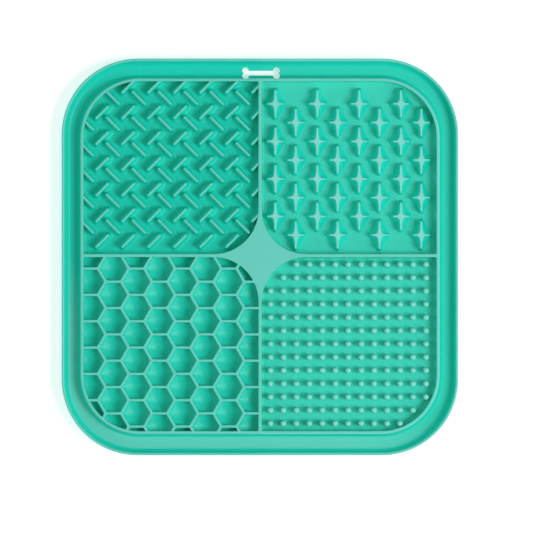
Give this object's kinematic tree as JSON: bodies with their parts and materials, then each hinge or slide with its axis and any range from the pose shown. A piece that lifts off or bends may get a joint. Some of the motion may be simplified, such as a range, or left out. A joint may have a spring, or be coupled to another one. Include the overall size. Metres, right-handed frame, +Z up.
{
  "type": "lick mat",
  "caption": "Square moulded silicone lick mat with a rounded rim channel and a field in four quarters of ribs, star posts, honeycomb cells and nubs.",
  "frame": {"origin": "middle of the flat underside, on the surface that the mat lies on", "axes": "+Z up out of the textured face, +Y towards the edge with the hanging hole, +X to the right as seen from above"},
  "size_m": [0.2, 0.2, 0.01],
  "materials": {
    "silicone": "semi-matte moulded silicone, turquoise green all through"
  },
  "bodies": {
    "root": {"mat": "silicone"}
  },
  "joints": []
}
